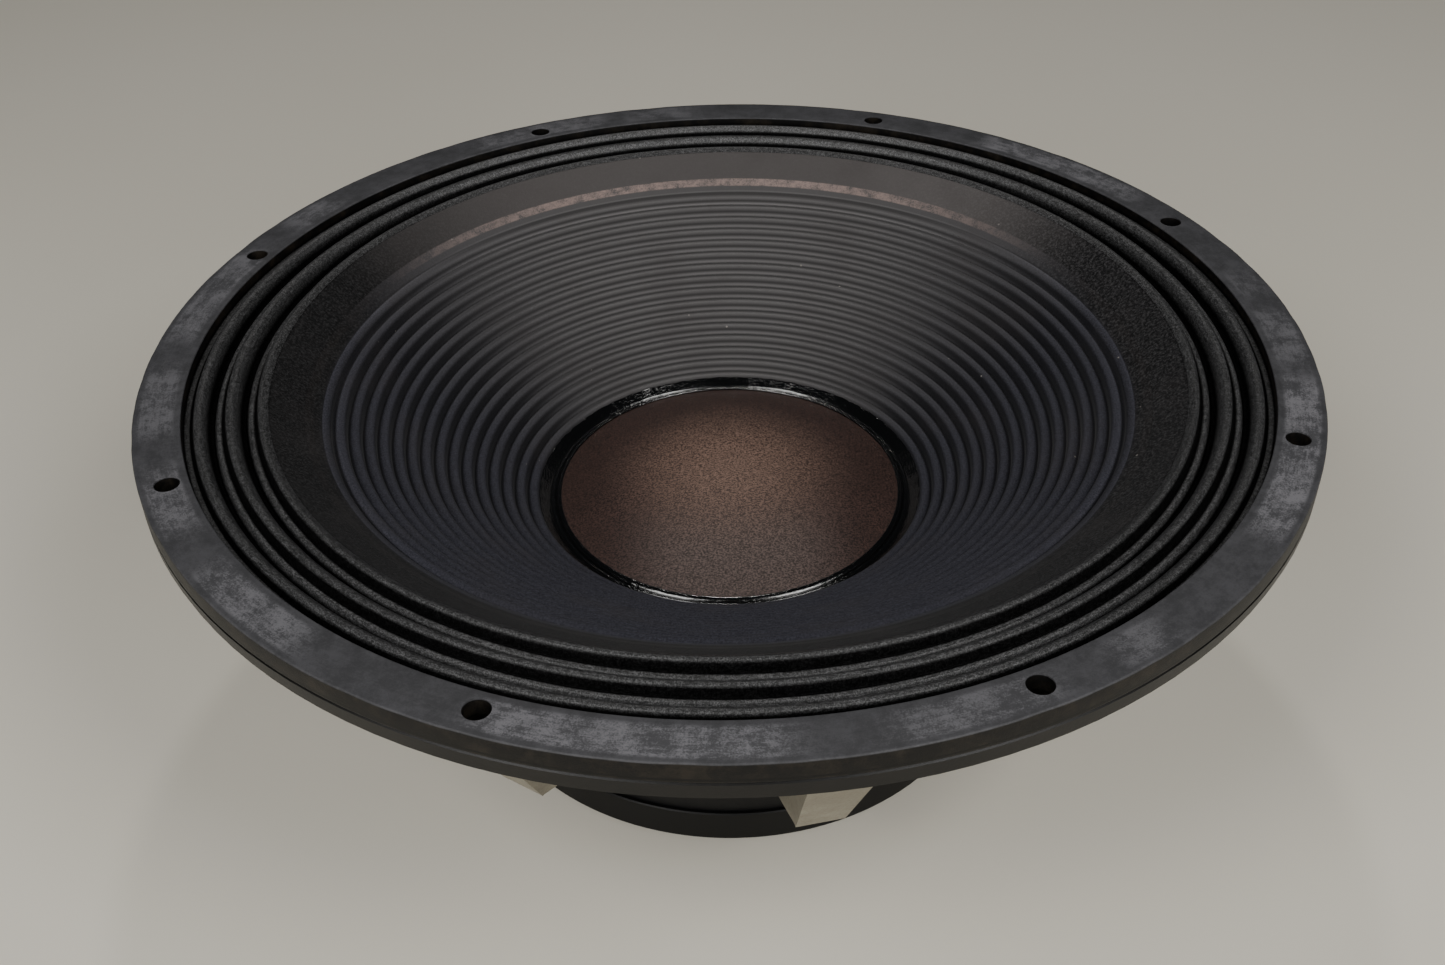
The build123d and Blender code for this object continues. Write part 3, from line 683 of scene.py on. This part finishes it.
def area_light(name, azimuth, elevation, size, power, colour, distance=2.1):
    """A rectangular lamp on a dome round the object that looks at its middle.  Angles in degrees."""
    lamp = bpy.data.lights.new(name, "AREA")
    lamp.shape = "RECTANGLE"
    lamp.size, lamp.size_y = size
    lamp.energy = power
    lamp.color = colour
    obj = bpy.data.objects.new(name, lamp)
    bpy.context.scene.collection.objects.link(obj)
    turn, tilt = radians(azimuth), radians(elevation)
    obj.location = distance * Vector((cos(tilt) * cos(turn), cos(tilt) * sin(turn), sin(tilt)))
    obj.rotation_euler = (-obj.location).to_track_quat("-Z", "Y").to_euler()


def make_stage():
    """A pale floor, two pairs of soft lamps in front and a small lamp behind."""
    f = Finish("floor_paint", Roughness=0.5, Specular_IOR_Level=0.3)
    f.set("Base Color", f.mix(f.noise(3, 3, 0.5), rgb(244, 238, 222), rgb(248, 243, 230)))
    size, low = 6000, FLOOR_Z / MM
    corners = [(-size, -size, low), (size, -size, low), (size, size, low), (-size, size, low)]
    floor = piece("floor", corners, [(0, 1, 2, 3)], f.material, smooth=False)
    world = bpy.data.worlds.new("world")
    bpy.context.scene.world = world
    world.use_nodes = True
    back = world.node_tree.nodes["Background"]
    back.inputs["Color"].default_value = (0.60, 0.68, 0.80, 1)
    back.inputs["Strength"].default_value = 0.02
    for side, turn in (("left", -1), ("right", 1)):
        area_light(f"front_{side}", -90 + turn * 45, 45, (0.8, 0.8), 14.3, (1.0, 0.99, 0.97))
        area_light(f"low_{side}", -90 + turn * 30, 20, (0.8, 0.8), 10.9, (1.0, 0.99, 0.97))
    area_light("lamp", 90, 58, (0.16, 0.14), 4.3, (1.0, 0.97, 0.93))


# --- gasket --------------------------------------------------------------------------------------
def rounded(corners, radius, steps=4):
    """A closed outline with each corner replaced by a small arc."""
    result = []
    corners = [np.array(c, float) for c in corners]
    for k, corner in enumerate(corners):
        before, after = corners[k - 1] - corner, corners[(k + 1) % len(corners)] - corner
        cut = min(radius, 0.45 * np.hypot(*before), 0.45 * np.hypot(*after))
        start = corner + before / np.hypot(*before) * cut
        end = corner + after / np.hypot(*after) * cut
        for t in np.linspace(0, 1, steps + 1):
            result.append((1 - t) ** 2 * start + 2 * t * (1 - t) * corner + t ** 2 * end)
    return np.array(result)


def cut_holes(obj, radius, low, high):
    """Drill the bolt holes through a ring."""
    verts, faces, sides = [], [], 48
    for angle in BOLT_ANGLES:
        cx, cy = BOLT_CIRCLE_R * cos(radians(angle)), BOLT_CIRCLE_R * sin(radians(angle))
        first = len(verts)
        for z in (low, high):
            for k in range(sides):
                a = 2 * pi * k / sides
                verts.append((cx + radius * cos(a), cy + radius * sin(a), z))
        faces.append([first + k for k in reversed(range(sides))])
        faces.append([first + sides + k for k in range(sides)])
        for k in range(sides):
            n = (k + 1) % sides
            faces.append([first + k, first + n, first + sides + n, first + sides + k])
    cutter = piece("cutter", verts, faces, obj.data.materials[0], smooth=False)
    cut = obj.modifiers.new("holes", "BOOLEAN")
    cut.operation, cut.object, cut.solver = "DIFFERENCE", cutter, "EXACT"
    applied(obj)
    bpy.data.objects.remove(cutter)
    obj.data.shade_smooth()
    obj.data.set_sharp_from_angle(angle=radians(35))


def make_gasket():
    low, ledge = GASKET_LOW, GASKET_TOP - 4.3
    corners = [(GASKET_LEDGE_R, low), (FLANGE_R - 0.5, low), (FLANGE_R, low + 0.6),
               (FLANGE_R, GASKET_TOP - 0.5), (FLANGE_R - 0.5, GASKET_TOP), (GASKET_INNER_R, GASKET_TOP),
               (GASKET_INNER_R, ledge), (GASKET_LEDGE_R, ledge)]

    def worn(angles, r, z):
        edge = (r > FLANGE_R - 1.5) & (z > GASKET_TOP - 1.5)
        dent = np.maximum(0, ripple(angles, (7, 13, 22, 41, 67), 3)) * 0.35
        return r - dent * edge, z - dent * 0.3 * edge
    outline = rounded(corners, 0.5)
    gasket = turned("gasket", outline, gasket_rubber(), segments=720, crease=35, wobble=worn)
    cut_holes(gasket, BOLT_HOLE_R, low - 1, GASKET_TOP + 1)
    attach(gasket, ROOT)
    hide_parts("front_gasket")


# --- suspension ----------------------------------------------------------------------------------
def arch(r0, z0, r1, z1, rise, power, count=24):
    """Points of one roll: a line from start to end, bowed by rise.  A low power makes steep sides."""
    t = np.linspace(0, 1, count)
    return np.stack([r0 + (r1 - r0) * t, z0 + (z1 - z0) * t + rise * (4 * t * (1 - t)) ** power], -1)


# Radius and depth under the gasket's top of the surround's centre line, from the frame to the cone.
SURROUND_LINE = [
    (213.9, 4.4), (210.6, 4.4), (209.6, 4.7), (208.7, 3.6), (207.9, 1.9), (206.6, 1.4), (205.2, 1.9),
    (203.8, 3.4), (202.6, 7.4), (201.4, 8.0), (199.9, 5.6), (198.8, 5.5), (197.6, 6.2), (196.7, 3.2),
    (196.2, 2.1), (195.0, 1.7), (193.6, 2.2), (192.2, 3.6), (191.0, 7.6), (189.8, 8.5), (188.2, 6.6),
    (187.0, 6.4), (185.8, 7.0), (184.9, 3.8), (184.3, 2.7), (183.2, 2.3), (182.0, 2.9), (180.6, 3.9)]


def make_surround():
    rolls = [(r, GASKET_TOP - depth) for r, depth in SURROUND_LINE]
    outline = thickened(smoothed(rolls, 0.3), CLOTH_THICKNESS)
    surround = turned("surround", outline, surround_cloth(), segments=720)
    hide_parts("surround")
    blend_by_radius(surround)


def make_spider(name, node):
    crest = 1.3
    middle = reach(node)[2] - crest
    waves, start_r, end_r = 4, 92.1, 54.4
    r = np.linspace(start_r, end_r, 160)
    z = middle + crest * np.sin(2 * pi * waves * (start_r - r) / (start_r - end_r))
    line = np.concatenate([[(97.4, middle)], np.stack([r, z], -1), [(52.3, middle)]])
    spider = turned(name, thickened(line, CLOTH_THICKNESS), spider_cloth(name + "_cloth"), segments=360)
    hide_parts(node)
    blend_by_radius(spider)


# --- cone, dust cap and glue ---------------------------------------------------------------------
def cone_z(r):
    return CONE_EDGE_Z - CONE_SLOPE * (CONE_EDGE_R - r)


def rib_height(r):
    """Height of the pressed ribs above the straight cone: broad rounded crests between narrow
    grooves, each crest a little nearer to its outer groove."""
    along = (r - FIRST_GROOVE_R) / RIB_PITCH
    u = along - np.floor(along)
    rib = np.sin(pi * u ** 1.1) ** 1.1
    ends = smooth_step((along + RIB_COUNT - 0.05) / 0.2)
    inside = ends * (RIB_DEPTH * (rib - RIB_SHARE_BELOW))
    outside = -RIB_DEPTH * RIB_SHARE_BELOW * (1 - smooth_step(along / 0.42))
    return np.where(along > 0, outside, inside)


def make_cone():
    r = np.concatenate([np.arange(CONE_EDGE_R, FIRST_GROOVE_R + 3.0, -1.0),
                        np.arange(FIRST_GROOVE_R + 2.8, 78.5, -RIB_PITCH / 24),
                        np.arange(78.0, CONE_NECK_R, -1.6), [CONE_NECK_R]])
    square = 1 / sqrt(1 + CONE_SLOPE ** 2)
    # the felted band at the edge stands a little proud of the ribbed face
    lift = rib_height(r) + 0.25 / (1 + np.exp(-(r - FELT_INNER_R) / 0.5))
    line = np.stack([r - lift * CONE_SLOPE * square, cone_z(r) + lift * square], -1)
    cone = turned("cone", thickened(line, CONE_THICKNESS), cone_paper(), segments=400, crease=70)
    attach(cone, CONE)
    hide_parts("paper_cone")


def make_dust_cap():
    _, low, high = reach("dust_cap")
    crown = high - low - CAP_SKIRT
    sphere = (CAP_R ** 2 + crown ** 2) / (2 * crown)
    # the cap's edge runs out onto the cone
    edge_r = CAP_R + CAP_OVERLAP
    r = np.concatenate([np.linspace(edge_r, 10, 60), np.linspace(9, 0, 8)])
    dome = np.stack([r, high - sphere + np.sqrt(sphere ** 2 - r ** 2)], -1)
    inside = dome[::-1] - (0, CAP_THICKNESS)
    outline = np.concatenate([[(edge_r, cone_z(edge_r) - 0.3)], dome, inside, [(CAP_R - 0.9, low)]])
    cap = close_pole(turned("dust_cap_dome", outline, cap_paper(), segments=256))
    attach(cap, CONE)
    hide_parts("dust_cap")


def make_cap_glue():
    edge_z = reach("dust_cap")[1] + CAP_SKIRT

    def film(r):
        return cone_z(r) + 0.5
    beads = np.concatenate([
        [(72.2, edge_z - 1.0)],
        arch(71.9, edge_z + 0.35, 74.6, edge_z - 0.9, 0.85, 0.55),
        arch(74.6, edge_z - 0.9, 76.6, edge_z - 1.0, 0.45, 0.55),
        [(r, film(r)) for r in np.arange(77.2, 81.3, 0.4)], [(81.5, cone_z(81.5) - 0.1)]])
    under = [(r, cone_z(r) - 0.4) for r in (80, 76, 73.2)]
    outline = np.concatenate([smoothed(beads, 0.12, 0.15), under])

    def dabbed(angles, r, z):
        # the bead laps further over the cap at the sides than at the front and back
        r = r + 1.7 * np.sin(angles) ** 2 * np.clip((77.6 - r) / 3.0, 0, 1)
        far = np.clip((r - 76.5) / 5.5, 0, 1)
        stray = 0.4 * ripple(angles, (5, 9, 17, 31, 58, 97), 11)
        r = r + far * stray
        swell = 0.3 * np.cos(angles) ** 2 + 0.25 * ripple(angles, (9, 17, 31, 58), 14)
        z = z + far * (CONE_SLOPE * stray + swell)
        near = np.clip((76.8 - r) / 3, 0, 1)
        z = z + near * 0.14 * ripple(angles, (3, 8, 19, 43, 71), 12)
        z = z + far * 0.10 * ripple(angles + r * 0.9, (37, 61, 113), 13)
        return r, z
    glue = turned("cap_glue", outline, glue_black(), segments=1080, crease=80, wobble=dabbed)
    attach(glue, CONE)
    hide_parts("dust_cap_glue")


# --- leads and springs ---------------------------------------------------------------------------
# Route of a tinsel lead in its radial plane: radius, height.
LEAD_ROUTE = [(126.0, -79.6), (116.5, -78.1), (103.5, -71.1), (89.0, -68.1), (75.5, -72.1),
              (64.5, -78.6), (53.5, -80.4)]
LEAD_R = 1.2
SPRING_WIRE_R = 0.28
SPRING_COILS = 5


def make_leads():
    """Braided tinsel leads that loop from the terminals to the moving coil."""
    for colour, side in (("red", 1), ("black", -1)):
        plane = radians(TERMINAL_ANGLE) + side * TERMINAL_OFFSET / LEAD_ROUTE[0][0]
        points = [(r * cos(plane), r * sin(plane), z) for r, z in LEAD_ROUTE]

        def braid(along, angle):
            strands = abs(sin(1.5 * angle + along * 1.15)) + abs(sin(1.5 * angle - along * 1.15))
            return LEAD_R * (0.84 + 0.09 * strands)
        route = smooth_line(points, 260)
        lead = swept(f"{colour}_lead_braid", route, braid, lead_braid(colour), sides=18)
        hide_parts(f"{colour}_tinsel_lead")
        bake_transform(lead)


def make_springs():
    """Coil springs behind the push buttons, built as fixed coils."""
    outward = Vector((cos(radians(TERMINAL_ANGLE)), sin(radians(TERMINAL_ANGLE)), 0))
    across = Vector((-outward.y, outward.x, 0))
    for colour in ("red", "black"):
        low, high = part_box(f"{colour}_button_spring")
        middle = (low + high) / 2 / MM
        reach_out = abs((high - low).z) / MM / 2 - SPRING_WIRE_R
        length = SPRING_LENGTH - 2 * SPRING_WIRE_R
        turns = np.linspace(0, SPRING_COILS, SPRING_COILS * 24)
        # the end coils lie flat
        rise = smooth_step((turns - 0.6) / (SPRING_COILS - 1.2)) - 0.5
        path = [middle + outward * (length * k) + across * (reach_out * cos(2 * pi * t))
                + Vector((0, 0, reach_out * sin(2 * pi * t))) for t, k in zip(turns, rise)]
        steel = moulded(f"spring_{colour}", rgb(180, 180, 184), 0.2, 0.01, metallic=1.0)
        spring = swept(f"{colour}_spring_coil", path, lambda along, angle: SPRING_WIRE_R, steel, sides=8)
        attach(spring, ROOT)
        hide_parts(f"{colour}_button_spring")
        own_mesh(spring)


# --- CAD nodes that stay -------------------------------------------------------------------------
def dress(node, material, bevel_mm=0.0, crease=35):
    """Give a CAD node its finish and soften its edges."""
    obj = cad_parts[node]
    obj.data.materials.clear()
    obj.data.materials.append(material)
    if bevel_mm:
        edge = obj.modifiers.new("edge", "BEVEL")
        edge.width, edge.segments, edge.limit_method = bevel_mm * MM, 3, "ANGLE"
        edge.angle_limit = radians(crease)
        edge.harden_normals = True


def dress_cad():
    steel = turned_metal("motor_steel", rgb(52, 52, 54), 0.42, 0.6)
    screw = moulded("screw_black", rgb(30, 30, 31), 0.35, 0.02, metallic=0.8)
    brass = moulded("tag_brass", rgb(196, 170, 110), 0.3, 0.02, metallic=1.0)
    black = moulded("terminal_black", rgb(24, 24, 25), 0.42, 0.04)
    dress("basket_frame", frame_metal(), 0.6)
    # the boot's black is darkened further as painted shade from the flange above it
    boot = moulded("boot_black", rgb(11, 11, 11), 0.46, 0.05, spread=0.3, Specular_IOR_Level=0.3)
    ferrite = moulded("ferrite", rgb(17, 17, 18), 0.5, 0.05, scale=300, Specular_IOR_Level=0.3)
    dress("magnet_boot", boot, 0.3)
    dress("top_plate", steel, 0.3)
    dress("yoke_and_pole", steel, 0.3)
    dress("ferrite_magnet", ferrite, 0.3)
    dress("shorting_ring", turned_metal("ring_aluminium", rgb(190, 190, 194), 0.25))
    dress("spider_spacer_ring", moulded("spacer_board", rgb(92, 72, 52), 0.8, 0.1))
    dress("voice_coil_former", moulded("former_film", rgb(150, 92, 36), 0.25, 0.01))
    dress("voice_coil_winding", moulded("copper_wire", rgb(184, 112, 74), 0.3, 0.05, metallic=1.0))
    dress("former_collar", moulded("collar_paper", rgb(132, 108, 78), 0.8, 0.08))
    dress("neck_glue", glue_black())
    dress("coil_tags", brass)
    dress("vent_screen", moulded("screen_wire", rgb(150, 150, 152), 0.35, 0.02, metallic=1.0))
    dress("frame_screws", screw, 0.3)
    dress("terminal_plate", moulded("terminal_board", rgb(36, 34, 32), 0.6, 0.05), 0.2)
    dress("terminal_plate_screws", screw, 0.15)
    for colour, tone in (("red", rgb(168, 22, 18)), ("black", rgb(20, 20, 21))):
        dress(f"{colour}_terminal_body", black, 0.3)
        dress(f"{colour}_button", moulded(f"button_{colour}", tone, 0.28, 0.03), 0.3)
        dress(f"{colour}_terminal_tag", brass)


make_camera()
make_stage()
make_gasket()
make_surround()
make_spider("upper_spider_cloth_disc", "upper_spider")
make_spider("lower_spider_cloth_disc", "lower_spider")
make_cone()
make_dust_cap()
make_cap_glue()
make_leads()
make_springs()
dress_cad()
